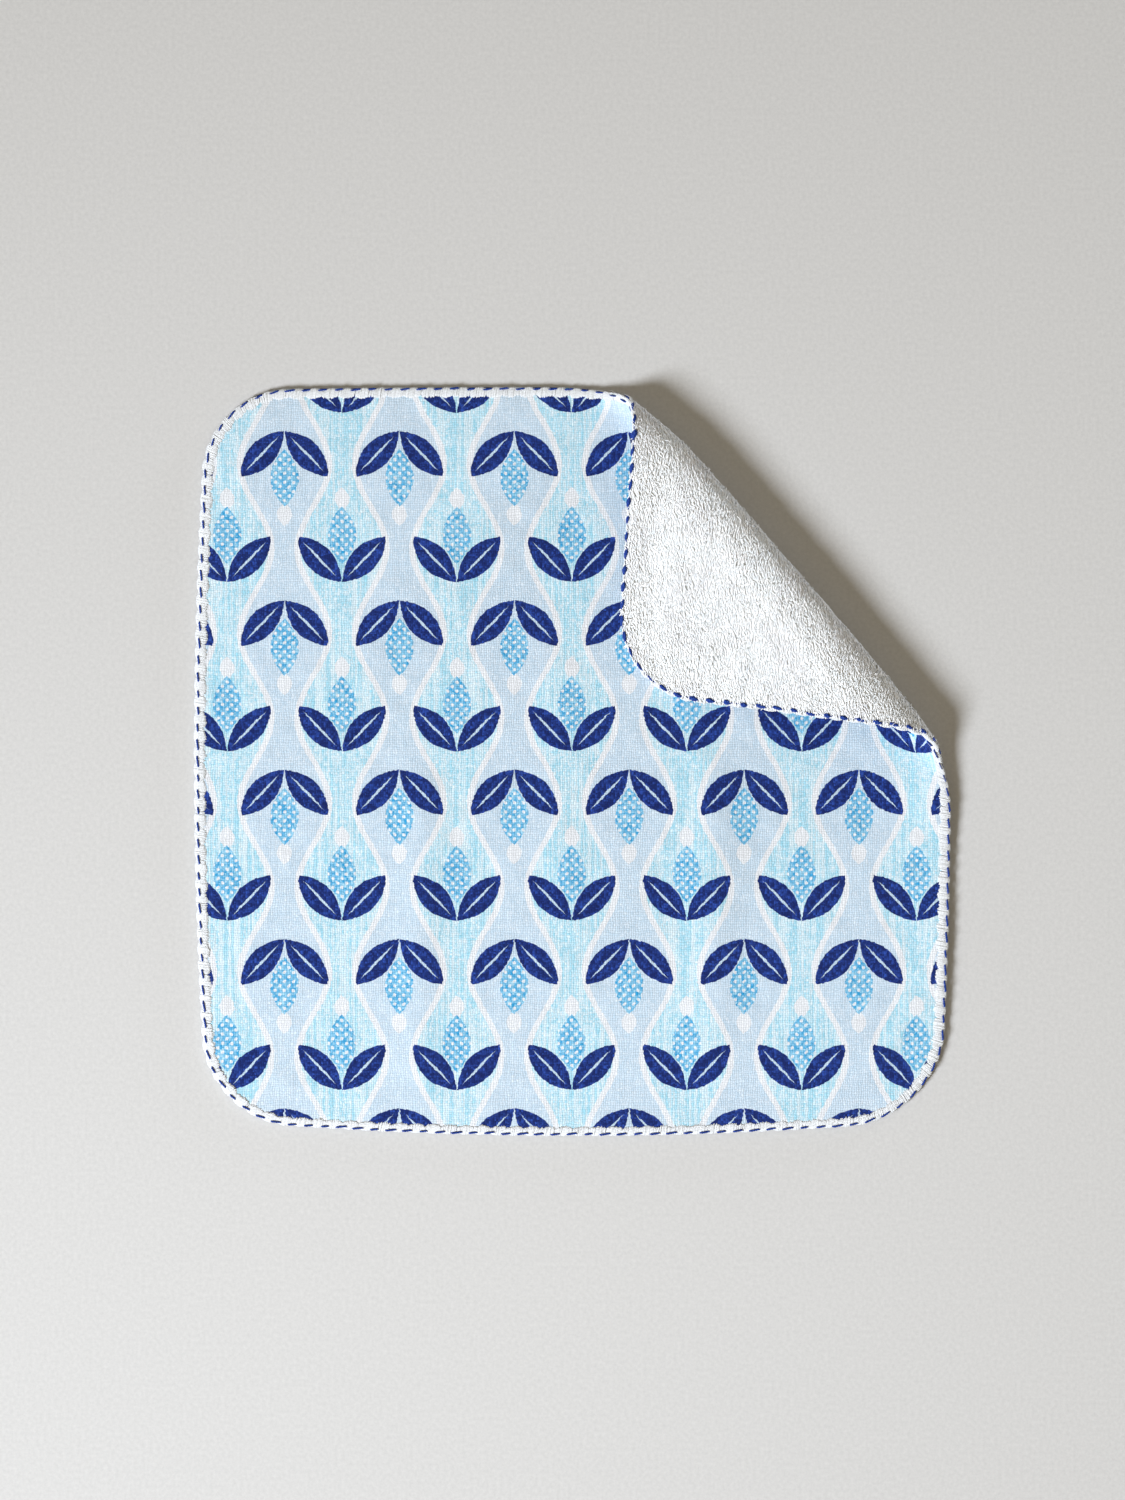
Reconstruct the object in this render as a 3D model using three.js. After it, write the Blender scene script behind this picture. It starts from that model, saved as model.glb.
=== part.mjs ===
// A square towelling handkerchief lying face up, with its upper right corner turned over in a soft roll.
// Millimetres, +Z up, +X to the right and +Y away from the viewer. The origin is on the surface that the
// cloth lies on, below the middle of its box.
import * as THREE from 'three';

// The cloth as it is cut, before its corner is turned over
const clothWidth = 250.5;
const clothLength = 249;
const clothThickness = 2;
// Each corner is round, and its two sides draw in towards it from their middles
const corners = [
  { corner: 'lower left', sideX: -1, sideY: -1, radius: 28, drawInX: 4.5, drawInY: 5.5 },
  { corner: 'lower right', sideX: 1, sideY: -1, radius: 31, drawInX: 3.5, drawInY: 5.5 },
  { corner: 'upper right', sideX: 1, sideY: 1, radius: 28, drawInX: 0.3, drawInY: 1 },
  { corner: 'upper left', sideX: -1, sideY: 1, radius: 28, drawInX: 4.5, drawInY: 1 },
];

// The overlocked edging: a raised band whose rim swells out between its stitches
const edgingWidth = 3.6;
const edgingRise = 0.3;
const edgingRound = 0.9;
const stitchCount = 168;
const stitchSwell = 0.9;
const pointsPerStitch = 4;

// The turned corner: the crease runs down to the right at foldAngle, and the roll begins foldStart from the
// middle of the cloth, measured square to the crease
const foldAngle = THREE.MathUtils.degToRad(47.8);
const foldStart = 84;
const layerGap = 0.6;
// The section of the fold, from the lower layer round to the turned corner. The slope has no turn, and its
// length is worked out so that the corner comes to lie on the lower layer.
const foldSection = [
  { stretch: 'rise', radius: 18, turnDegrees: 30, steps: 3 },
  { stretch: 'roll', radius: 5.6, turnDegrees: 110, steps: 7 },
  { stretch: 'shoulder', radius: 14, turnDegrees: 55, steps: 5 },
  { stretch: 'slope', radius: Infinity, turnDegrees: 0, steps: 5 },
  { stretch: 'landing', radius: 60, turnDegrees: -15, steps: 3 },
];
// The roll reaches out a little further at its upper end than at its lower one, and draws in at both ends
const rollLean = -0.02;
const rollTaper = 2.6;
const rollTaperReach = 80;
const rollFade = { lowerLayer: 9, turnedCorner: 24 };

// Stretches of the edge that stand a little off the surface
const edgeLifts = [
  { stretch: 'upper left corner', middleX: -112, middleY: 108, reachX: 18, reachY: 18, height: 0.6 },
  { stretch: 'beside the roll', middleX: 125, middleY: -8, reachX: 14, reachY: 18, height: 2.4 },
  { stretch: 'right edge', middleX: 125, middleY: -60, reachX: 10, reachY: 32, height: 1 },
  { stretch: 'lower edge', middleX: 30, middleY: -125, reachX: 60, reachY: 9, height: 0.6 },
];

// Spacing of the rows and of the points along them, on the flat of the cloth. The first and last rows keep
// tipInset of a spacing from the tips of the corners.
const rowSpacing = 8.5;
const pointSpacing = 8.5;
const tipInset = 0.6;
const outlineSteps = 1440;

const clothColour = 0x9fbfe0;
const clothRoughness = 0.95;

const alongFold = new THREE.Vector2(Math.cos(foldAngle), -Math.sin(foldAngle));
const acrossFold = new THREE.Vector2(Math.sin(foldAngle), Math.cos(foldAngle));

// A closed outline, inset from the cut edge: straight sides, round corners, evenly spaced points.
function insetOutline(inset, count) {
  const path = new THREE.Path();
  for (const { sideX, sideY, radius } of corners) {
    const round = radius - inset;
    const centreX = sideX * (clothWidth / 2 - radius);
    const centreY = sideY * (clothLength / 2 - radius);
    const middleAngle = Math.atan2(sideY, sideX);
    path.absarc(centreX, centreY, round, middleAngle - Math.PI / 4, middleAngle + Math.PI / 4, false);
  }
  path.closePath();
  const points = path.getSpacedPoints(count);
  points.pop();
  return points.map(drawIn);
}

// The sides bow: each draws in with the square of the distance from its middle.
function drawIn(point) {
  const across = point.x / (clothWidth / 2);
  const away = point.y / (clothLength / 2);
  const { drawInX, drawInY } = corners.find(({ sideX, sideY }) => sideX * across >= 0 && sideY * away >= 0);
  return new THREE.Vector2(point.x - across * drawInX * away ** 2, point.y - away * drawInY * across ** 2);
}

// The rim swells out between stitches: each outline point moves along its own outward normal.
function swollenOutline(inset, swell) {
  const count = stitchCount * pointsPerStitch;
  const points = insetOutline(inset, count);
  return points.map((point, index) => {
    const before = points[(index + count - 1) % count];
    const after = points[(index + 1) % count];
    const outward = new THREE.Vector2(after.y - before.y, before.x - after.x).normalize();
    const phase = (Math.PI * index) / pointsPerStitch;
    return point.clone().addScaledVector(outward, swell * (Math.abs(Math.sin(phase)) - 1));
  });
}

// The fold's stretches with their lengths, and where each begins: travel along the cloth, place and angle.
function layOutFold() {
  const rows = foldSection.map((row) => ({ ...row, turn: THREE.MathUtils.degToRad(row.turnDegrees) }));
  const slopeIndex = rows.findIndex((row) => row.turnDegrees === 0);
  const slopeAngle = rows.slice(0, slopeIndex).reduce((sum, row) => sum + row.turn, 0);
  let climb = 0;
  let angle = 0;
  for (const row of rows) {
    if (row.turn !== 0) {
      const bend = row.radius * Math.sign(row.turn);
      climb += bend * (Math.cos(angle) - Math.cos(angle + row.turn));
      angle += row.turn;
    }
  }
  const drop = climb - (clothThickness + layerGap);
  let start = { travel: 0, across: 0, height: 0, angle: 0 };
  return rows.map((row) => {
    const length = row.turn === 0 ? drop / -Math.sin(slopeAngle) : row.radius * Math.abs(row.turn);
    const placed = { ...row, length, start };
    start = { travel: start.travel + length, ...pointOnStretch(placed, length) };
    return placed;
  });
}

// Place and angle at a travel along one stretch: on an arc, or on a straight.
function pointOnStretch({ radius, turn, start }, travel) {
  if (turn === 0) {
    return {
      across: start.across + travel * Math.cos(start.angle),
      height: start.height + travel * Math.sin(start.angle),
      angle: start.angle,
    };
  }
  const bend = radius * Math.sign(turn);
  const angle = start.angle + travel / bend;
  return {
    across: start.across + bend * (Math.sin(angle) - Math.sin(start.angle)),
    height: start.height + bend * (Math.cos(start.angle) - Math.cos(angle)),
    angle,
  };
}

const foldStretches = layOutFold();
const foldLength = foldStretches.reduce((sum, stretch) => sum + stretch.length, 0);
const rollMiddle = foldStretches[0].length + foldStretches[1].length / 2;

// Place and angle at any travel past the start of the fold: flat before it, on the lower layer after it.
function sectionAt(travel) {
  if (travel <= 0) {
    return { across: travel, height: 0, angle: 0 };
  }
  const stretch = foldStretches.find(({ start, length }) => travel <= start.travel + length);
  if (stretch) {
    return pointOnStretch(stretch, travel - stretch.start.travel);
  }
  const landing = foldStretches[foldStretches.length - 1];
  const end = pointOnStretch(landing, landing.length);
  return { ...end, across: end.across - (travel - foldLength) };
}

// The bump of a soft lift or shift: 1 in the middle, falling away as a bell.
function bell(distance, reach) {
  return Math.exp(-((distance / reach) ** 2));
}

// A flat point of the cloth where it lies: folded over the crease, then raised by the edge lifts. The offset
// is measured out of the printed face.
function lay(point, offset) {
  const along = point.dot(alongFold);
  const travel = point.dot(acrossFold) - foldStart;
  const { across, height, angle } = sectionAt(travel);
  const lean = rollLean * along - rollTaper * (along / rollTaperReach) ** 4;
  const fade = travel < rollMiddle ? rollFade.lowerLayer : rollFade.turnedCorner;
  const shift = lean * bell(travel - rollMiddle, fade);
  const reach = foldStart + across + shift - offset * Math.sin(angle);
  const lift = edgeLifts.reduce((sum, row) => {
    const bellX = bell(point.x - row.middleX, row.reachX);
    const bellY = bell(point.y - row.middleY, row.reachY);
    return sum + row.height * bellX * bellY;
  }, 0);
  return new THREE.Vector3(
    along * alongFold.x + reach * acrossFold.x,
    along * alongFold.y + reach * acrossFold.y,
    clothThickness / 2 + height + lift + offset * Math.cos(angle),
  );
}

// Distances square to the crease at which the rows of points run: close together round the roll.
function rowTravels(outline) {
  const travels = outline.map((point) => point.dot(acrossFold) - foldStart);
  const first = Math.min(...travels);
  const last = Math.max(...travels);
  const rows = [];
  const flatRows = Math.ceil(-first / rowSpacing);
  for (let row = 0; row < flatRows; row += 1) {
    rows.push(first * (1 - (row + tipInset) / flatRows));
  }
  for (const { start, length, steps } of foldStretches) {
    for (let step = 0; step < steps; step += 1) {
      rows.push(start.travel + (length * step) / steps);
    }
  }
  for (let travel = foldLength; travel < last; travel += rowSpacing) {
    rows.push(travel);
  }
  return rows.filter((travel) => travel < last - tipInset * rowSpacing);
}

// The two ends of a row, where it meets the outline.
function rowEnds(outline, travel) {
  const places = [];
  outline.forEach((point, index) => {
    const next = outline[(index + 1) % outline.length];
    const here = point.dot(acrossFold) - foldStart - travel;
    const there = next.dot(acrossFold) - foldStart - travel;
    if (here < 0 !== there < 0) {
      places.push(point.clone().lerp(next, here / (here - there)).dot(alongFold));
    }
  });
  return [Math.min(...places), Math.max(...places)];
}

// The points of one row, evenly spaced from edge to edge.
function rowPoints(outline, travel) {
  const [begin, end] = rowEnds(outline, travel);
  const steps = Math.max(1, Math.round((end - begin) / pointSpacing));
  return Array.from({ length: steps + 1 }, (_, step) => {
    const along = begin + ((end - begin) * step) / steps;
    const across = foldStart + travel;
    return alongFold.clone().multiplyScalar(along).addScaledVector(acrossFold, across);
  });
}

// Triangles between two lines of numbered flat points, always taking the shorter next crossing.
function bridge(lower, upper, flat) {
  const triangles = [];
  let low = 0;
  let high = 0;
  while (low < lower.length - 1 || high < upper.length - 1) {
    const lowStep = low < lower.length - 1
      ? flat[lower[low + 1]].distanceTo(flat[upper[high]]) : Infinity;
    const highStep = high < upper.length - 1
      ? flat[lower[low]].distanceTo(flat[upper[high + 1]]) : Infinity;
    if (lowStep <= highStep) {
      triangles.push([lower[low], lower[low + 1], upper[high]]);
      low += 1;
    } else {
      triangles.push([lower[low], upper[high + 1], upper[high]]);
      high += 1;
    }
  }
  return triangles;
}

// Starts a closed ring at the point nearest to a place, and repeats that point at its end.
function ringFrom(ring, place, flat) {
  const distances = ring.map((number) => flat[number].distanceTo(place));
  const nearest = distances.indexOf(Math.min(...distances));
  return [...ring.slice(nearest), ...ring.slice(0, nearest), ring[nearest]];
}

// The cloth as one closed skin: printed face, edging round the rim, and back.
function clothGeometry() {
  const edgingOutline = insetOutline(edgingWidth, outlineSteps);
  const rows = rowTravels(edgingOutline).map((travel) => rowPoints(edgingOutline, travel));
  const flat = [];
  const numbered = rows.map((row) => row.map((point) => flat.push(point) - 1));
  const fieldTriangles = numbered.slice(1).flatMap((row, index) => bridge(numbered[index], row, flat));
  const firstRow = numbered[0];
  const lastRow = numbered[numbered.length - 1];
  const fieldLoop = [
    ...firstRow,
    ...numbered.slice(1, -1).map((row) => row[row.length - 1]),
    ...[...lastRow].reverse(),
    ...numbered.slice(1, -1).reverse().map((row) => row[0]),
  ];
  const fieldCount = flat.length;
  const shoulderRing = swollenOutline(edgingRound, stitchSwell).map((point) => flat.push(point) - 1);
  const sideCount = flat.length;
  const rimRing = swollenOutline(0, stitchSwell).map((point) => flat.push(point) - 1);
  const openLoop = [...fieldLoop, fieldLoop[0]];
  const ring = ringFrom(shoulderRing, flat[fieldLoop[0]], flat);
  const sideTriangles = [...fieldTriangles, ...bridge(ring, openLoop, flat)];

  const half = clothThickness / 2;
  const face = flat.slice(0, sideCount).map((point, index) => {
    return lay(point, index < fieldCount ? half : half + edgingRise);
  });
  const back = flat.slice(0, sideCount).map((point) => lay(point, -half));
  const rim = rimRing.map((number) => lay(flat[number], 0));
  const places = [...face, ...back, ...rim];
  const backNumber = (number) => number + sideCount;
  const rimNumber = (number) => number + sideCount;

  const triangles = [];
  for (const [a, b, c] of sideTriangles) {
    triangles.push([a, b, c], [backNumber(a), backNumber(c), backNumber(b)]);
  }
  shoulderRing.forEach((number, index) => {
    const next = (index + 1) % shoulderRing.length;
    const nextNumber = shoulderRing[next];
    const rimHere = rimNumber(rimRing[index]);
    const rimNext = rimNumber(rimRing[next]);
    const backHere = backNumber(number);
    const backNext = backNumber(nextNumber);
    triangles.push([number, rimHere, rimNext], [number, rimNext, nextNumber]);
    triangles.push([rimHere, backHere, rimNext], [rimNext, backHere, backNext]);
  });

  const geometry = new THREE.BufferGeometry();
  geometry.setFromPoints(places);
  geometry.setIndex(triangles.flat());
  geometry.computeBoundingBox();
  const { min, max } = geometry.boundingBox;
  geometry.translate(-(min.x + max.x) / 2, -(min.y + max.y) / 2, -min.z);
  geometry.computeVertexNormals();
  return geometry;
}

const cloth = new THREE.Mesh(
  clothGeometry(),
  new THREE.MeshStandardMaterial({ color: clothColour, roughness: clothRoughness, metalness: 0 }),
);
cloth.name = 'handkerchief_cloth';

const handkerchief = new THREE.Group();
handkerchief.add(cloth);

export default handkerchief;
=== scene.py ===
# A towelling handkerchief with one corner turned over: printed gauze face, looped back, shell-stitched edge.
# Every piece is worked out on the flat cloth, as (u, v, offset) in millimetres, then laid round the fold.
import bpy
import math
import numpy as np
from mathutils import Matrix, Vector


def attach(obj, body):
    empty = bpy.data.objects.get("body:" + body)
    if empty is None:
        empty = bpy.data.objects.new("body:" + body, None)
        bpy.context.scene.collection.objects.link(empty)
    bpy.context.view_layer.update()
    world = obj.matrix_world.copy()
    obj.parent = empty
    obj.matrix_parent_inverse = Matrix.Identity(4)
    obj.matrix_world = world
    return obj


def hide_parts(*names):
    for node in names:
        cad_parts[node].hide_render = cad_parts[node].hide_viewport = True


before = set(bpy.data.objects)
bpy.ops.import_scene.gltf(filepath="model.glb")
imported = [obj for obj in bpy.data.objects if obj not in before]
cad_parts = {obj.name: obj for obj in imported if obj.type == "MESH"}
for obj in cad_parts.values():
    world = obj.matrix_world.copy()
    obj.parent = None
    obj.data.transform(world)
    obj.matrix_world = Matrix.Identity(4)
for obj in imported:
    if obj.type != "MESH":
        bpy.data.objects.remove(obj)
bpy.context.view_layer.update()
clothNode = "handkerchief_cloth"
print("frame loaded:", sorted(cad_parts))

mm = 0.001
yarnMapSpan = 10.0  # mm of yarn along one unit of its map
dice = np.random.default_rng(31)

# The cut cloth and its fold, the same sizes as the solid it stands for
cloth = {
    "width": 250.5,
    "length": 249.0,
    "thickness": 2.0,
    "corners": [  # sideX, sideY, radius, draw-in along X, draw-in along Y
        (-1, -1, 28, 4.5, 5.5),
        (1, -1, 31, 3.5, 5.5),
        (1, 1, 28, 0.3, 1.0),
        (-1, 1, 28, 4.5, 1.0),
    ],
    "arcPoints": 65,
    "foldAngle": math.radians(47.8),  # the crease runs down to the right
    "foldStart": 84.0,                # from the middle of the cloth, square to the crease
    "layerGap": 0.6,
    # Radius, and turn in degrees, of each stretch of the fold; None is a straight
    "foldStretches": [(18.0, 30), (5.6, 110), (14.0, 55), (None, 0), (60.0, -15)],
    "turnedFrom": (8.0, 30.0),        # travel over which the lower layer becomes the turned one
    "rollLean": -0.02,
    "rollTaper": 2.6,
    "rollTaperReach": 80.0,
    "rollFadeLower": 9.0,
    "rollFadeTurned": 24.0,
    "edgeLifts": [  # middle u, v, reach u, v, height
        (-112, 108, 18, 18, 0.6),
        (125, -8, 14, 18, 2.4),
        (125, -60, 10, 32, 1.0),
        (30, -125, 60, 9, 0.6),
    ],
}
# The roll draws in towards its top end, along the fold between two places and round a travel
endTuck = {"from": -50.0, "to": -80.0, "travel": 22.0, "fade": 16.0, "depth": 2.4}
alongFold = np.array([math.cos(cloth["foldAngle"]), -math.sin(cloth["foldAngle"])])
acrossFold = np.array([math.sin(cloth["foldAngle"]), math.cos(cloth["foldAngle"])])


def bell(distance, reach):  # 1 in the middle, falling away as exp of minus the square
    return np.exp(-(distance / reach) ** 2)


def ease(low, high, x):  # smooth step from 0 at low to 1 at high: 3t^2 - 2t^3
    t = np.clip((x - low) / (high - low), 0, 1)
    return t * t * (3 - 2 * t)


def foldPlace(u, v):  # distance along the crease, and travel across it from where the fold starts
    return u * alongFold[0] + v * alongFold[1], u * acrossFold[0] + v * acrossFold[1] - cloth["foldStart"]


def stretchPoint(start, radius, turn, travel):  # place and angle along an arc, or along a straight
    across, height, angle = start
    if turn == 0:
        return across + travel * np.cos(angle), height + travel * np.sin(angle), angle + 0 * travel
    bend = radius * np.sign(turn)
    now = angle + travel / bend
    return across + bend * (np.sin(now) - np.sin(angle)), height + bend * (np.cos(angle) - np.cos(now)), now


def foldTable():
    # Start travel, length, start place, radius and turn of each stretch; the slope's length closes the fold
    turns = [math.radians(turn) for _, turn in cloth["foldStretches"]]
    radii = [radius for radius, _ in cloth["foldStretches"]]
    slope = turns.index(0)
    slopeAngle = sum(turns[:slope])
    climb, angle = 0.0, 0.0
    for radius, turn in zip(radii, turns):
        if turn:
            climb += radius * np.sign(turn) * (math.cos(angle) - math.cos(angle + turn))
            angle += turn
    drop = climb - (cloth["thickness"] + cloth["layerGap"])
    rows, start, travel = [], (0.0, 0.0, 0.0), 0.0
    for radius, turn in zip(radii, turns):
        length = radius * abs(turn) if turn else drop / -math.sin(slopeAngle)
        rows.append((travel, length, start, radius, turn))
        start = tuple(float(x) for x in stretchPoint(start, radius, turn, np.float64(length)))
        travel += length
    return rows, start, travel


foldRows, foldEnd, foldLength = foldTable()
rollMiddle = foldRows[1][0] + foldRows[1][1] / 2


def foldSection(travel):
    # Across, height and angle for any travel: flat, then the stretches, then lying flat turned over
    across = np.where(travel > foldLength, foldEnd[0] - (travel - foldLength), travel)
    height = np.where(travel > foldLength, foldEnd[1], 0.0)
    angle = np.where(travel > foldLength, foldEnd[2], 0.0)
    for begin, length, start, radius, turn in foldRows:
        here = (travel > begin) & (travel <= begin + length)
        a, h, g = stretchPoint(start, radius, turn, travel - begin)
        across, height, angle = np.where(here, a, across), np.where(here, h, height), np.where(here, g, angle)
    return across, height, angle


def layCloth(flat, tuck=1):
    # (u, v, offset) on the flat cloth to a place: round the fold, drawn in at its top end, lifted at edges
    u, v, offset = flat[..., 0], flat[..., 1], flat[..., 2]
    along, travel = foldPlace(u, v)
    across, height, angle = foldSection(travel)
    fade = np.where(travel < rollMiddle, cloth["rollFadeLower"], cloth["rollFadeTurned"])
    lean = cloth["rollLean"] * along - cloth["rollTaper"] * (along / cloth["rollTaperReach"]) ** 4
    drawn = endTuck["depth"] * (1 - ease(endTuck["to"], endTuck["from"], along))
    drawn = tuck * drawn * bell(travel - endTuck["travel"], endTuck["fade"])
    reach = cloth["foldStart"] + across + lean * bell(travel - rollMiddle, fade) - drawn
    reach = reach - offset * np.sin(angle)
    lift = sum(h * bell(u - mu, ru) * bell(v - mv, rv) for mu, mv, ru, rv, h in cloth["edgeLifts"])
    up = cloth["thickness"] / 2 + height + lift + offset * np.cos(angle)
    place = along[..., None] * np.append(alongFold, 0) + reach[..., None] * np.append(acrossFold, 0)
    place[..., 2] = up
    return place


def drawIn(points):  # the sides bow: each draws in with the square of the distance from its middle
    across = points[..., 0] / (cloth["width"] / 2)
    away = points[..., 1] / (cloth["length"] / 2)
    inX, inY = np.zeros_like(across), np.zeros_like(away)
    for sideX, sideY, _, bowX, bowY in cloth["corners"]:
        here = (sideX * across >= 0) & (sideY * away >= 0)
        inX, inY = np.where(here, bowX, inX), np.where(here, bowY, inY)
    bowed = points[..., 0] - across * inX * away ** 2, points[..., 1] - away * inY * across ** 2
    return np.stack(bowed, -1)


def cutOutline(inset, steps=4096):
    # Rounded square as an even closed line: four corner arcs joined by straight sides
    line = []
    for sideX, sideY, radius, _, _ in cloth["corners"]:
        middle = math.atan2(sideY, sideX)
        turn = np.linspace(middle - math.pi / 4, middle + math.pi / 4, cloth["arcPoints"])
        centre = np.array([sideX * (cloth["width"] / 2 - radius), sideY * (cloth["length"] / 2 - radius)])
        line.append(centre + (radius - inset) * np.stack([np.cos(turn), np.sin(turn)], -1))
    line = np.concatenate(line + [line[0][:1]])
    run = np.append(0, np.cumsum(np.linalg.norm(np.diff(line, axis=0), axis=1)))
    even = np.arange(steps) / steps * run[-1]
    return np.stack([np.interp(even, run, line[:, k]) for k in (0, 1)], -1)


def aroundOutline(outline, values, angle):  # values of an outline's points, read at an angle about the middle
    polar = np.arctan2(outline[:, 1], outline[:, 0])
    order = np.argsort(polar)
    return np.interp(angle, polar[order], values[order], period=2 * math.pi)


rimLine = drawIn(cutOutline(0.0))
rimStep = np.roll(rimLine, -1, 0) - np.roll(rimLine, 1, 0)
rimOut = np.stack([rimStep[:, 1], -rimStep[:, 0]], -1) / np.linalg.norm(rimStep, axis=1)[:, None]
rimLength = np.linalg.norm(np.diff(rimLine, axis=0, append=rimLine[:1]), axis=1).sum()


def rimPoint(share, inset):  # flat point at a share of the way round the edge, moved in square to it
    at = np.mod(share, 1) * len(rimLine)
    places = np.arange(len(rimLine) + 1)
    closed = lambda rows, k: np.interp(at, places, np.append(rows[:, k], rows[0, k]))
    return np.stack([closed(rimLine, k) - inset * closed(rimOut, k) for k in (0, 1)], -1)


def bySide(sizes, share):
    # A size for each side of the cloth, blended round the corners by the squares of the rim's direction
    facing = rimPoint(share, 0 * share) - rimPoint(share, 0 * share + 1)
    x, y = facing[..., 0], facing[..., 1]
    across = np.where(x < 0, sizes["left"], sizes["right"]) * x ** 2
    return across + np.where(y < 0, sizes["bottom"], sizes["top"]) * y ** 2


# The solid was centred on its box, so the pieces move by the same amount
stitch = {"count": 168, "swell": 0.9}  # stitches round the rim, and how far the rim swells out at each
rimShare = np.arange(stitch["count"] * 4) / (stitch["count"] * 4)
swellAt = lambda share: stitch["swell"] * (1 - np.abs(np.sin(math.pi * stitch["count"] * share)))
rimFlat = np.concatenate([rimPoint(rimShare, swellAt(rimShare)), np.zeros((len(rimShare), 1))], -1)
rimLaid = layCloth(rimFlat, tuck=0)
centreShift = np.append((rimLaid.min(0)[:2] + rimLaid.max(0)[:2]) / 2, 0)


def addMesh(name, places, faceArrays, uvOfVertex):  # vertices in mm, arrays of quads or triangles, and a map
    mesh = bpy.data.meshes.new(name)
    corners = np.concatenate([f.ravel() for f in faceArrays]).astype(np.int32)
    sizes = np.concatenate([np.full(len(f), f.shape[1], np.int32) for f in faceArrays])
    mesh.vertices.add(len(places))
    mesh.vertices.foreach_set("co", ((places - centreShift) * mm).astype(np.float32).ravel())
    mesh.loops.add(len(corners))
    mesh.loops.foreach_set("vertex_index", corners)
    mesh.polygons.add(len(sizes))
    mesh.polygons.foreach_set("loop_start", np.append(0, np.cumsum(sizes)[:-1]).astype(np.int32))
    mesh.polygons.foreach_set("loop_total", sizes)
    mesh.polygons.foreach_set("use_smooth", np.ones(len(sizes), bool))
    mesh.update(calc_edges=True)
    layer = mesh.uv_layers.new(name="flatCloth")
    layer.data.foreach_set("uv", uvOfVertex[corners].astype(np.float32).ravel())
    mesh.validate()
    piece = bpy.data.objects.new(name, mesh)
    bpy.context.scene.collection.objects.link(piece)
    triangles = int((sizes - 2).sum())
    print(f"{name}: {len(places)} points, {triangles} triangles")
    return piece


def addVectors(piece, name, vectors):  # one vector for each vertex
    layer = piece.data.attributes.new(name, "FLOAT_VECTOR", "POINT")
    layer.data.foreach_set("vector", vectors.astype(np.float32).ravel())


def yarnTubes(name, paths, radii, across, sides, closed=False, flatten=1.0):
    # Yarns: circles of the given radii, or flattened ones, carried along each path square to its tangent
    count, steps, _ = paths.shape
    if closed:
        tangent = np.roll(paths, -1, 1) - np.roll(paths, 1, 1)
    else:
        tangent = np.gradient(paths, axis=1)
    tangent /= np.linalg.norm(tangent, axis=-1, keepdims=True)
    first = across - (across * tangent).sum(-1, keepdims=True) * tangent
    first /= np.linalg.norm(first, axis=-1, keepdims=True)
    second = np.cross(tangent, first)
    turn = np.arange(sides) / sides * 2 * math.pi
    ring = first[:, :, None] * np.cos(turn)[:, None] + flatten * second[:, :, None] * np.sin(turn)[:, None]
    flat = paths[:, :, None] + ring * np.broadcast_to(radii, (count, steps))[:, :, None, None]
    number = np.arange(count * steps * sides).reshape(count, steps, sides)
    after = np.roll(number, -1, 1) if closed else number[:, 1:]
    here = number if closed else number[:, :-1]
    quads = np.stack([here, np.roll(here, -1, 2), np.roll(after, -1, 2), after], -1).reshape(-1, 4)
    faces = [quads]
    if not closed:
        faces += [number[:, 0, ::-1].reshape(-1, sides), number[:, -1].reshape(-1, sides)]
    run = np.append(np.zeros((count, 1)), np.cumsum(np.linalg.norm(np.diff(paths, axis=1), axis=-1), 1), 1)
    uv = np.stack(np.broadcast_arrays(run[:, :, None] / yarnMapSpan, turn / (2 * math.pi)), -1)
    piece = addMesh(name, layCloth(flat).reshape(-1, 3), faces, uv.reshape(-1, 2))
    addVectors(piece, "clothPlace", flat * (1, 1, 0))
    loose = layCloth(flat - (0, 0, 0.5)) - layCloth(flat + (0, 0, 0.5)) + (0, 0, pile["through"])
    addVectors(piece, "looseNormal", loose / np.linalg.norm(loose, axis=-1, keepdims=True))
    return piece


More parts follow.
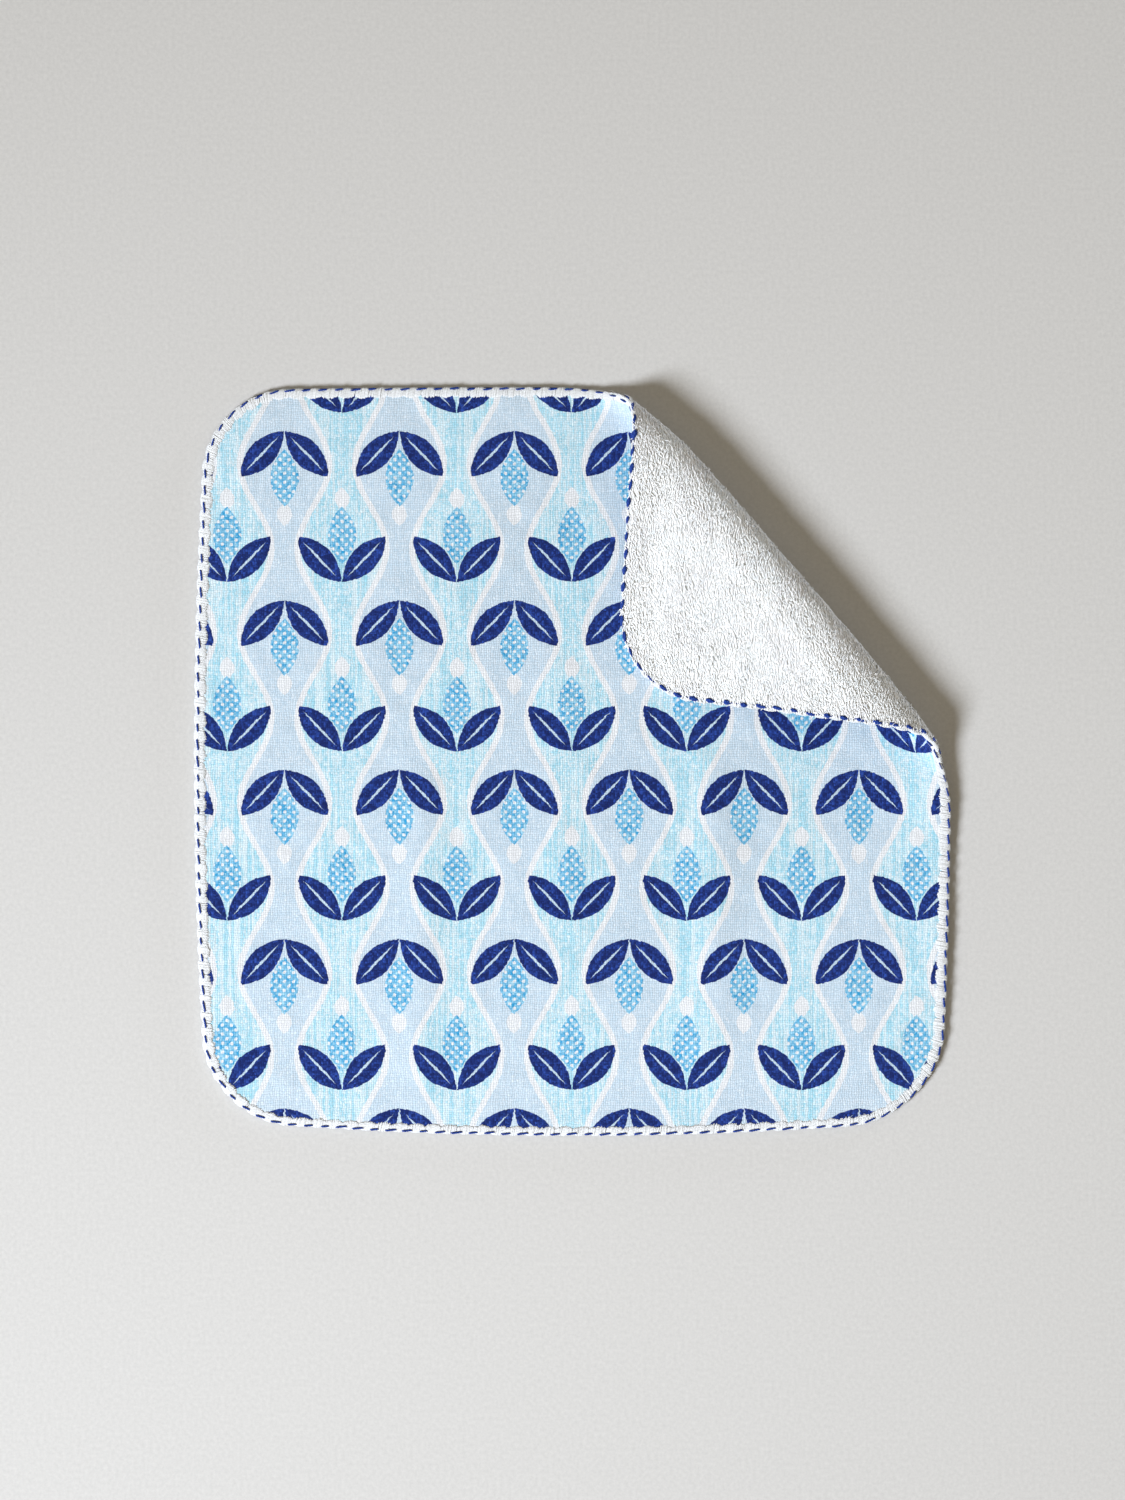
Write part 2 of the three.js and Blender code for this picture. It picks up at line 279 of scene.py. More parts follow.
# Cloth sheet: a grid squeezed into the rounded outline, face and back
sheet = {
    "steps": 212,
    "inset": 1.0,           # the edging covers the cut edge
    "fieldHalf": 0.95,      # half thickness in the field
    "edgeHalf": 0.45,       # pressed thin under the edging
    "edgeFrom": 0.4,        # the thin part lies under the edging
    "edgeReach": 2.6,
    "backReach": 1.3,       # the looped back keeps its thickness nearly to the rim
    "cornerSqueeze": 6,     # how fast the grid takes up the round corners towards the rim
    "nub": 0.16,            # uneven ground of the looped back
    "pucker": 0.22,
    "puckerReach": 7.0,
    "puckerSlow": (0.6, 0.4, 7, 3, 1.3),  # mean, swing, two counts of waves round the rim, phase
    "puckerSlip": (2, 19),  # how far and how often the puckers slip along the rim
    "ridges": [  # middle u, half width, lower v, upper v, height: soft creases from storage
        (-50, 7, -112, -2, 0.75),
        (47, 8, -100, 0, 0.8),
        (-4, 9, -60, 40, 0.35),
    ],
    "ridgeEnd": 14.0,       # a ridge fades out over this far each side of its ends
    "cornerFolds": [  # middle u, v, direction in degrees, half length, half width, height
        (104, -96, 52, 15, 3.0, 0.5),
        (94, -104, 40, 13, 3.2, 0.4),
        (-109, 92, 62, 9, 2.6, 0.4),
        (-98, -104, 140, 11, 3.0, 0.3),
    ],
    "troughs": [  # middle u, v, reach u, v, depth: hollows on the turned corner
        (118, 64, 9, 22, 0.4),
        (92, 96, 14, 16, 0.4),
        (80, 115, 30, 6, 1.2),
    ],
    "swells": [  # the same for humps on the turned corner: its hem rides up towards both ends
        (60, 121, 19, 9, 2.0),
        (124, 52, 16, 16, 1.5),
    ],
    "swellsFrom": (20.0, 34.0),  # travel over which the humps come in
    # The roll is fuller than round on its far side, and loses a share of that between two places along it
    "shoulder": {"travel": 22.5, "reach": 5.0, "height": 0.8, "from": 5.0, "to": 45.0, "loss": 0.7},
    # Slow unevenness: waves per cm along u and v, and a phase
    "rolling": [(0.52, 0.21, 0.4), (-0.33, 0.61, 2.1), (0.83, -0.4, 5.0),
                (0.12, 0.95, 3.3), (0.7, 0.72, 1.2)],
    "rollingHeight": 0.17,
    "farIn": 60.0,          # a depth at which the edge has no more effect
    "uvSpan": 256.0,
}


def slowWaves(rows, u, v):  # the mean of a few crossing sine waves, given per cm, between -1 and 1
    perMm = 2 * math.pi / 10
    return sum(np.sin(perMm * (a * u + b * v) + c) for a, b, c in rows) / len(rows)


def sheetRelief(u, v, depth, share):
    # Soft ridges on the lower layer and its corners, hollows and humps on the turned one, puckers at the edge
    end = sheet["ridgeEnd"]
    ridge = sum(h * bell(u - mu, w) * ease(v0 - end, v0 + end, v) * (1 - ease(v1 - end, v1 + end, v))
                for mu, w, v0, v1, h in sheet["ridges"])
    for mu, mv, turn, length, width, height in sheet["cornerFolds"]:
        c, s = math.cos(math.radians(turn)), math.sin(math.radians(turn))
        run, off = (u - mu) * c + (v - mv) * s, (v - mv) * c - (u - mu) * s
        ridge = ridge + height * bell(run, length) * bell(off, width)
    humps = lambda rows: sum(d * bell(u - mu, ru) * bell(v - mv, rv) for mu, mv, ru, rv, d in rows)
    along, travel = foldPlace(u, v)
    shoulder = sheet["shoulder"]
    fuller = shoulder["height"] * bell(travel - shoulder["travel"], shoulder["reach"])
    fuller = fuller * (1 - shoulder["loss"] * ease(shoulder["from"], shoulder["to"], along))
    turned = humps(sheet["troughs"]) - humps(sheet["swells"]) * ease(*sheet["swellsFrom"], travel) - fuller
    lap = 2 * math.pi * share
    mean, swing, first, second, phase = sheet["puckerSlow"]
    uneven = mean + swing * np.sin(first * lap + phase) * np.sin(second * lap)
    slip, often = sheet["puckerSlip"]
    wave = 0.5 + 0.5 * np.sin(stitch["count"] / 2 * lap + slip * np.sin(often * lap))
    pucker = sheet["pucker"] * uneven * wave * np.exp(-depth / sheet["puckerReach"])
    return ridge + turned + pucker + sheet["rollingHeight"] * (1 + slowWaves(sheet["rolling"], u, v))


def makeSheet():
    # A square grid, drawn to the outline with a power of the distance from the middle; face and back are that
    # grid moved by half the thickness plus the relief, joined round the rim
    n = sheet["steps"]
    line = np.linspace(-1, 1, n + 1)
    a, b = np.meshgrid(line, line, indexing="ij")
    far = np.maximum(np.abs(a), np.abs(b))
    base = np.stack([a * cloth["width"] / 2, b * cloth["length"] / 2], -1)
    outline = cutOutline(sheet["inset"])
    angle = np.arctan2(base[..., 1], base[..., 0])
    outer = aroundOutline(outline, np.linalg.norm(outline, axis=1), angle)
    radius = np.maximum(np.linalg.norm(base, axis=-1), 1e-9)
    squeeze = 1 + (outer * far / radius - 1) * far ** sheet["cornerSqueeze"]
    flat = drawIn(base * squeeze[..., None])
    share = aroundOutline(outline, np.arange(len(outline)) / len(outline), angle)
    u, v = flat[..., 0], flat[..., 1]
    depth = (1 - far) * cloth["width"] / 2
    thicken = lambda reach: ease(sheet["edgeFrom"], reach, depth)
    half, backHalf = (sheet["edgeHalf"] + (sheet["fieldHalf"] - sheet["edgeHalf"]) * thicken(sheet[reach])
                      for reach in ("edgeReach", "backReach"))
    relief = sheetRelief(u, v, depth, share)
    nub = sheet["nub"] * dice.uniform(0, 1, u.shape) * thicken(sheet["edgeReach"])
    face = layCloth(np.stack([u, v, half + relief], -1))
    back = layCloth(np.stack([u, v, -backHalf + relief + nub], -1))
    number = np.arange((n + 1) ** 2).reshape(n + 1, n + 1)
    quads = np.stack([number[:-1, :-1], number[1:, :-1], number[1:, 1:], number[:-1, 1:]], -1).reshape(-1, 4)
    shift = (n + 1) ** 2
    loop = np.concatenate([number[:-1, 0], number[-1, :-1], number[:0:-1, -1], number[0, :0:-1]])
    after = np.roll(loop, -1)
    rim = np.stack([loop, loop + shift, after + shift, after], -1)
    uv = np.concatenate([flat.reshape(-1, 2)] * 2) / sheet["uvSpan"] + 0.5
    piece = addMesh("clothSheet", np.concatenate([face.reshape(-1, 3), back.reshape(-1, 3)]),
                    [quads, quads[:, ::-1] + shift, rim], uv)
    slots = np.concatenate([np.zeros(len(quads), np.int32), np.ones(len(quads) + len(rim), np.int32)])
    piece.data.polygons.foreach_set("material_index", slots)
    return piece


# Looped pile on the back: short strokes of yarn that rise out of the ground and dive back, mostly along u
pile = {
    "yarnRadius": 0.20,
    "flatten": 0.55,        # the loops lie pressed
    "length": (1.2, 2.4),
    "rise": (0.07, 0.22),
    "rollGain": 1.3,        # the bend opens the pile, most a little past its middle
    "rollPast": 4.0,
    "rollReach": 14.0,
    "stray": (0.06, 1.8),   # share of loops that stand out, and how much further
    "curl": 0.2,
    "turnSpread": 26,
    "root": -0.93,          # offset of the two ends, just under the back's surface
    "edgeClear": 0.8,
    "edgeFlat": 3.0,        # the pile is pressed down this far in from the rim
    "edgePress": 0.15,
    "through": 1.1,         # light passes a little way through loose pile, so its slope reads flatter
    # Waves per cm along u and v, and a phase; then what they add to a loop's rise, and to its turn in degrees
    "clumps": [(0.45, 0.9, 0.3), (-0.8, 0.5, 1.9), (1.1, -0.35, 4.0), (0.2, 1.3, 2.2)],
    "clumpRise": 0.5,
    "clumpTurn": 18,
    "span": (-20, 128),     # of the flat cloth that loops are tried on
    "radiusSpread": (0.8, 1.2),
    "steps": 4,
    "sides": 3,
    "shown": [
        {"name": "turnedPileLow", "from": 12.0, "to": 60.0, "spacing": 0.74},
        {"name": "turnedPileTip", "from": 60.0, "to": 99.0, "spacing": 0.74},
    ],
    "rolled": {"name": "rollPile", "from": 8.5, "to": 12.0, "spacing": 0.74},
}


def makePile(part):
    # Stroke: its length along its own direction, a half sine of rise out of the back and one of curl aside
    step = part["spacing"]
    line = np.arange(*pile["span"], step)
    u, v = np.meshgrid(line, line, indexing="ij")
    u, v = (g.ravel() + dice.uniform(-0.5, 0.5, g.size) * step for g in (u, v))
    _, travel = foldPlace(u, v)
    inner = drawIn(cutOutline(pile["edgeClear"], 512))
    limit = aroundOutline(inner, np.linalg.norm(inner, axis=1), np.arctan2(v, u))
    keep = (travel > part["from"]) & (travel <= part["to"]) & (np.hypot(u, v) < limit)
    inFromRim = (limit - np.hypot(u, v))[keep]
    u, v = u[keep], v[keep]
    count = len(u)
    clump = slowWaves(pile["clumps"], u, v)
    bend = bell(travel[keep] - rollMiddle - pile["rollPast"], pile["rollReach"])
    opened = 1 + (pile["rollGain"] - 1) * bend
    pressed = 1 - pile["edgePress"] * (1 - ease(0, pile["edgeFlat"], inFromRim))
    stray = 1 + pile["stray"][1] * (dice.uniform(0, 1, count) < pile["stray"][0])
    rise = dice.uniform(*pile["rise"], count) * (1 + pile["clumpRise"] * clump) * opened * pressed * stray
    length = dice.uniform(*pile["length"], count)
    turn = np.radians(dice.normal(0, pile["turnSpread"], count) + pile["clumpTurn"] * clump)
    relief = sheetRelief(u, v, np.full(count, sheet["farIn"]), np.zeros(count))
    t = np.linspace(0, 1, pile["steps"])[None]
    along = (t - 0.5) * length[:, None]
    side = np.sin(math.pi * t) * dice.normal(0, pile["curl"], count)[:, None]
    cosT, sinT = np.cos(turn)[:, None], np.sin(turn)[:, None]
    paths = np.stack([
        u[:, None] + along * cosT - side * sinT,
        v[:, None] + along * sinT + side * cosT,
        (relief + pile["root"])[:, None] - np.sin(math.pi * t) * rise[:, None],
    ], -1)
    sideways = np.stack([-np.sin(turn), np.cos(turn), np.zeros(count)], -1)[:, None]
    radii = pile["yarnRadius"] * dice.uniform(*pile["radiusSpread"], (count, 1))
    return yarnTubes(part["name"], paths, radii, sideways, pile["sides"], flatten=pile["flatten"])


# Edging: fans of white yarn over the rim, and a navy yarn that shows as a dash between fans
edging = {
    "strands": 14,
    "yarnRadius": 0.34,
    "flatten": 0.8,
    "rim": {"left": 0.1, "right": -0.3, "top": 0.7, "bottom": 0.2},   # of the rim, in from the cut edge
    "reach": {"left": 3.7, "right": 3.2, "top": 3.8, "bottom": 2.9},  # of the white between two fans
    "fan": 0.65,            # how much further at a fan's tip
    "lean": 1.25,           # the tips lean forward along the rim
    "gather": 0.94,         # the fan's inner ends draw together
    "jitter": 0.14,         # of the reach
    "dip": 0.75,            # of the rim's swell, between two fans
    "slant": (0.10, 0.3),   # of a stitch that a strand slants by, and the share of the reach where it crosses
    "slantJitter": 0.012,
    "lift": (0.05, 0.08),   # spread and limit of the strands' heights on the face
    "radiusSpread": (0.85, 1.15),
    "sides": 4,
    # Inset as a share of the reach, inset in mm, offset, thickness: from the back, round the rim, to the face
    "path": [
        (0.60, 0.0, -0.40, 0.6),
        (0.32, 0.0, -0.50, 0.9),
        (0.0, 0.50, -0.48, 1.0),
        (0.0, 0.22, 0.0, 1.0),
        (0.0, 0.52, 0.62, 1.0),
        (0.40, 0.1, 0.92, 1.0),
        (0.75, 0.1, 0.97, 1.0),
        (1.0, 0.0, 0.89, 0.6),
    ],
}


def turnedShare(flat):  # 0 on the lower layer, 1 on the turned corner
    return ease(*cloth["turnedFrom"], foldPlace(flat[..., 0], flat[..., 1])[1])


def rimRelief(flat, inset, share):  # the cloth's own unevenness under the edging
    return sheetRelief(flat[..., 0], flat[..., 1], np.maximum(inset - sheet["inset"], 0), share)


def makeEdging():
    # Strand: a line from the back round the rim to the face, a sine further in towards the middle of its fan
    count, strands = stitch["count"], edging["strands"]
    k, j = np.meshgrid(np.arange(count), np.arange(strands), indexing="ij")
    x = ((j + 0.5) / strands - 0.5).ravel()
    share = (k.ravel() + 0.5 + x) / count
    total = share.size
    noise = lambda scale: dice.normal(0, scale, total)
    tip = np.sin(math.pi * (x + 0.5) ** edging["lean"])
    reach = bySide(edging["reach"], share) + edging["fan"] * tip + noise(edging["jitter"])
    rows = np.array(edging["path"])
    dip = edging["dip"] * stitch["swell"] * (1 - np.cos(math.pi * x)) + bySide(edging["rim"], share)
    inset = rows[:, 0] * reach[:, None] + rows[:, 1] + dip[:, None] * (1 - rows[:, 0])
    draw = 1 - (1 - edging["gather"]) * rows[:, 0]
    slantBy, crossing = edging["slant"]
    slant = noise(edging["slantJitter"])[:, None] + slantBy * (rows[:, 0] - crossing)
    along = (k.ravel()[:, None] + 0.5 + x[:, None] * draw + slant) / count
    flat = rimPoint(along, inset)
    spread, limit = edging["lift"]
    offset = rows[:, 2] + np.clip(noise(spread), -limit, limit)[:, None] * (rows[:, 2] > 0)
    offset = offset + rimRelief(flat, inset, along)
    paths = np.concatenate([flat, offset[..., None]], -1)
    tangent = rimPoint(share + 1e-4, 0 * share) - rimPoint(share - 1e-4, 0 * share)
    across = np.concatenate([tangent, np.zeros((total, 1))], -1)
    across = (across / np.linalg.norm(across, axis=1, keepdims=True))[:, None]
    radii = edging["yarnRadius"] * dice.uniform(*edging["radiusSpread"], (total, 1)) * rows[:, 3]
    return yarnTubes("edgingYarn", paths, radii, across, edging["sides"], flatten=edging["flatten"])


dash = {
    "plyRadius": 0.20,
    "twist": 0.13,          # how far each ply stands from the yarn's middle
    "twistPitch": 1.5,
    "stepsPerStitch": 18,
    "share": 0.56,          # of the stitch in which the navy lies on top
    "turnedShare": 0.53,    # shorter and fatter on the turned corner
    "inset": {"left": 1.55, "right": 0.6, "top": 1.5, "bottom": 1.0},
    "turnedInset": 1.2,
    "slant": 0.5,           # a dash runs inwards by this much
    # Offsets under the white and over it, on each side of the cloth
    "face": {"under": 0.42, "left": 1.3, "right": 1.3, "top": 1.0, "bottom": 1.28},
    "back": {"under": -0.30, "left": -0.55, "right": -0.55, "top": -0.55, "bottom": -0.55},
    "turnedGain": 2.1,
    "turnedFat": 3.2,
    "turnedSlim": 1.8,
    "cornerFat": 0.55,      # of that, round the turned corner's own curve
    "lengthSpread": (0.75, 1.2),
    "endSoft": 0.09,        # of a stitch, over which the yarn dives
    "stray": 0.09,
    "girth": (0.7, 0.4),    # under the white, and what a dash adds
    "taper": 1.4,           # power of the swelling's fall towards its ends
    "teardrop": 0.4,        # how much fuller one end is
    "sides": 4,
}


def makeDashes(name, heights, turnedUp):
    # Two plies wound, as sine and cosine, round a line along the rim that rises over the white between fans
    steps = dash["stepsPerStitch"] * stitch["count"]
    share = np.arange(steps) / steps
    stitchNumber = np.floor(share * stitch["count"] + 0.5).astype(int) % stitch["count"]
    place = np.mod(share * stitch["count"] + 0.5, 1) - 0.5
    phase = np.abs(place)
    turned = turnedShare(rimPoint(share, 0 * share)) * turnedUp
    shown = dash["share"] + (dash["turnedShare"] - dash["share"]) * turned
    longer = shown / 2 * dice.uniform(*dash["lengthSpread"], stitch["count"])[stitchNumber]
    over = 1 - ease(longer - dash["endSoft"], longer + dash["endSoft"], phase)
    stray = dice.normal(0, dash["stray"], stitch["count"])[stitchNumber]
    inset = bySide(dash["inset"], share)
    inset = inset + (dash["turnedInset"] - inset) * turned + (stray + dash["slant"] * place / shown) * over
    offset = heights["under"] + (bySide(heights, share) - heights["under"]) * over
    offset = offset * (1 + (dash["turnedGain"] - 1) * turned)
    straight = bySide({"left": 1, "right": 1, "top": 0, "bottom": 0}, share)
    straight = (2 * straight - 1) ** 2
    full = dice.uniform(dash["turnedSlim"], dash["turnedFat"], stitch["count"])[stitchNumber]
    full = full * (dash["cornerFat"] + (1 - dash["cornerFat"]) * straight)
    swelling = np.clip(1 - (phase / longer) ** dash["taper"], 0, 1)
    swelling = swelling * (1 + dash["teardrop"] * np.clip(place / longer, -1, 1))
    fat = dash["girth"][0] + dash["girth"][1] * over + (full - 1) * turned * swelling
    wind = 2 * math.pi * np.round(rimLength / dash["twistPitch"]) * share
    ply = np.array([0, math.pi])[:, None]
    flat = rimPoint(np.broadcast_to(share, (2, steps)), inset + dash["twist"] * fat * np.cos(wind + ply))
    height = offset + dash["twist"] * fat * np.sin(wind + ply) + rimRelief(flat, inset, share)
    paths = np.concatenate([flat, height[..., None]], -1)
    return yarnTubes(name, paths, dash["plyRadius"] * fat, np.array([0.0, 0, 1]), dash["sides"], closed=True)


clothSheet = makeSheet()
piles = [makePile(part) for part in (*pile["shown"], pile["rolled"])]
edgingYarn = makeEdging()
faceDashes = makeDashes("navyYarnFace", dash["face"], 0)
backDashes = makeDashes("navyYarnBack", dash["back"], 1)
print("pieces made")


# Materials
def linear(r, g, b):  # 0 to 255 screen values to linear colour
    c = np.array([r, g, b]) / 255
    c = np.where(c <= 0.04045, c / 12.92, ((c + 0.055) / 1.055) ** 2.4)
    return (*[float(x) for x in c], 1.0)


class Nodes:  # short forms for wiring a tree
    def __init__(self, tree):
        self.tree = tree

    def node(self, kind, **settings):
        made = self.tree.nodes.new(kind)
        for key, value in settings.items():
            setattr(made, key, value)
        return made

    def put(self, socket, value):
        if isinstance(value, bpy.types.NodeSocket):
            self.tree.links.new(value, socket)
        elif value is not None:
            socket.default_value = value

    def math(self, operation, a, b=None, c=None):
        made = self.node("ShaderNodeMath", operation=operation)
        for socket, value in zip(made.inputs, (a, b, c)):
            self.put(socket, value)
        return made.outputs[0]

    def vector(self, operation, a, b=None):
        made = self.node("ShaderNodeVectorMath", operation=operation)
        self.put(made.inputs[0], a)
        self.put(made.inputs["Scale" if operation == "SCALE" else 1], b)
        return made.outputs[0]

    def blendNormal(self, a, b, share):
        parts = self.vector("SCALE", a, 1 - share), self.vector("SCALE", b, share)
        return self.vector("NORMALIZE", self.vector("ADD", *parts))

    def mix(self, factor, a, b, blend="MIX"):
        made = self.node("ShaderNodeMix", data_type="RGBA", blend_type=blend)
        self.put(made.inputs[0], factor)
        self.put(made.inputs[6], a)
        self.put(made.inputs[7], b)
        return made.outputs[2]

    def noise(self, vector, scale, detail=2.0, roughness=0.5):
        made = self.node("ShaderNodeTexNoise")
        self.put(made.inputs["Vector"], vector)
        made.inputs["Scale"].default_value = scale
        made.inputs["Detail"].default_value = detail
        made.inputs["Roughness"].default_value = roughness
        return made.outputs["Fac"]

    def white(self, value):  # a random number for each whole number
        made = self.node("ShaderNodeTexWhiteNoise", noise_dimensions="1D")
        self.put(made.inputs["W"], value)
        return made.outputs["Value"]

    def mapping(self, vector, location=(0, 0, 0), scale=(1, 1, 1)):
        made = self.node("ShaderNodeMapping")
        self.put(made.inputs["Vector"], vector)
        made.inputs["Location"].default_value = location
        made.inputs["Scale"].default_value = scale
        return made.outputs[0]

    def split(self, vector):
        made = self.node("ShaderNodeSeparateXYZ")
        self.put(made.inputs[0], vector)
        return made.outputs[0], made.outputs[1]

    def join(self, x, y, z=0.0):
        made = self.node("ShaderNodeCombineXYZ")
        for socket, value in zip(made.inputs, (x, y, z)):
            self.put(socket, value)
        return made.outputs[0]

    def soft(self, value, width):  # 0 to 1 across a soft edge where value crosses zero
        made = self.node("ShaderNodeMapRange", interpolation_type="SMOOTHSTEP")
        self.put(made.inputs["Value"], value)
        made.inputs["From Min"].default_value = -width
        made.inputs["From Max"].default_value = width
        return made.outputs[0]


def newGroup(name, inputs, outputs):
    group = bpy.data.node_groups.new(name, "ShaderNodeTree")
    for label, kind in inputs:
        group.interface.new_socket(label, in_out="INPUT", socket_type=kind)
    for label, kind in outputs:
        group.interface.new_socket(label, in_out="OUTPUT", socket_type=kind)
    tools = Nodes(group)
    return group, tools, tools.node("NodeGroupInput").outputs, tools.node("NodeGroupOutput").inputs


def useGroup(tools, group, **values):
    made = tools.node("ShaderNodeGroup", node_tree=group)
    for label, value in values.items():
        tools.put(made.inputs[label], value)
    return made.outputs


vectorKind, valueKind = "NodeSocketVector", "NodeSocketFloat"
weave = {
    "pitch": 0.76,
    "wobble": 1.5,          # how far threads stray
    "slub": 0.45,           # slubs per mm along a thread
    "warp": (0.5, 0.6),     # how much a thread rises where it is on top, and its mean height
    "weft": (-0.4, 0.5),
    "streakShare": 0.65,    # of the warp in the streaks; the weft has the rest
    "threadStep": 17.3,     # between the noise of one thread and of the next
}


def weaveGroup():
    # Plain weave: round warp and weft profiles, each on top where the sign of sin u times sin v favours it.
    # Fleck is the tone of the thread on top: noise along each thread, started afresh on the next one
    group, t, given, out = newGroup("gauzeWeave", [("Flat", vectorKind)],
                                    [("Height", valueKind), ("Streak", valueKind), ("Fleck", valueKind)])
    wobbleU = t.noise(t.mapping(given["Flat"], scale=(0.5, 0.25, 1)), 1.0, 2)
    wobbleV = t.noise(t.mapping(given["Flat"], (31, 7, 0), (0.25, 0.5, 1)), 1.0, 2)
    u, v = t.split(given["Flat"])
    u = t.math("ADD", u, t.math("MULTIPLY", wobbleU, weave["wobble"]))
    v = t.math("ADD", v, t.math("MULTIPLY", wobbleV, weave["wobble"]))
    su = t.math("SINE", t.math("MULTIPLY", u, math.pi / weave["pitch"]))
    sv = t.math("SINE", t.math("MULTIPLY", v, math.pi / weave["pitch"]))
    sign = t.math("MULTIPLY", su, sv)
    warp = t.math("MULTIPLY", t.math("ABSOLUTE", su), t.math("MULTIPLY_ADD", sign, *weave["warp"]))
    weft = t.math("MULTIPLY", t.math("ABSOLUTE", sv), t.math("MULTIPLY_ADD", sign, *weave["weft"]))
    t.put(out["Height"], t.math("MAXIMUM", warp, weft))
    streakWarp = t.noise(t.mapping(given["Flat"], scale=(1.3, 0.07, 1)), 1.0, 2)
    streakWeft = t.noise(t.mapping(given["Flat"], scale=(0.06, 1.3, 1)), 1.0, 2)
    streaks = (t.math("MULTIPLY", streakWarp, weave["streakShare"]),
               t.math("MULTIPLY", streakWeft, 1 - weave["streakShare"]))
    t.put(out["Streak"], t.math("ADD", *streaks))
    thread = lambda x: t.math("FLOOR", t.math("DIVIDE", x, weave["pitch"]))
    number = lambda x: t.math("MULTIPLY", thread(x), weave["threadStep"])
    run = lambda x: t.math("MULTIPLY", x, weave["slub"])
    warpTone = t.noise(t.join(number(u), run(v)), 1.0, 2, 0.6)
    weftTone = t.noise(t.join(run(u), number(v), 40.0), 1.0, 2, 0.6)
    warpOnTop = t.soft(t.math("ADD", sign, 0.25), 0.3)
    t.put(out["Fleck"], t.math("ADD", t.math("MULTIPLY", warpTone, warpOnTop),
                               t.math("MULTIPLY", weftTone, t.math("SUBTRACT", 1.0, warpOnTop))))
    return group


# The print: upright waving bands, lined and plain by turns, with a sprig of three leaves in each swelling
printing = {
    "bandPair": 38.0,       # width of a lined band and a plain one together
    "bandRise": 56.0,       # height of one swelling and one waist
    "bandSway": 5.2,
    "outlineHalf": 1.05,
    "linePitch": 1.84,
    "lineSoft": 0.17,
    "lineBreaks": 0.7,      # how much the threads' tone breaks the lines
    "dotPitch": 3.0,
    "dotLevel": 0.46,       # of the crossed waves, where a dot ends
    "dotSoft": 0.22,
    "bandSoft": 0.12,
    "leafSoft": 0.1,
    "threadShift": 0.28,    # every thread carries the print a little off its neighbours
    "middleLeaf": {"at": 4.5, "length": 19.0, "width": 9.4},
    "bud": {"at": 16.6, "length": 7.6, "width": 5.0},
    "sideLeaf": {"atX": 7.4, "atY": -3.4, "length": 21.0, "width": 8.8, "angle": 44},
    "vein": {"lengthShare": 0.72, "width": 0.75},
    "bare": 0.5,            # the most that a thread shows white through the lighter inks
    "bareTone": (0.55, 0.25),   # middle and softness of the thread tone at which each ink lightens
    "navyTone": (0.55, 0.14),
    "azureTone": (0.5, 0.16),
    "navy": linear(4, 28, 91),
    "navyLight": linear(36, 68, 152),
    "azure": linear(38, 151, 202),
    "azureLight": linear(92, 187, 219),
    "lined": linear(152, 206, 223),
    "linedPale": linear(201, 223, 230),
    "plain": linear(187, 207, 221),
    "white": linear(222, 224, 226),
}


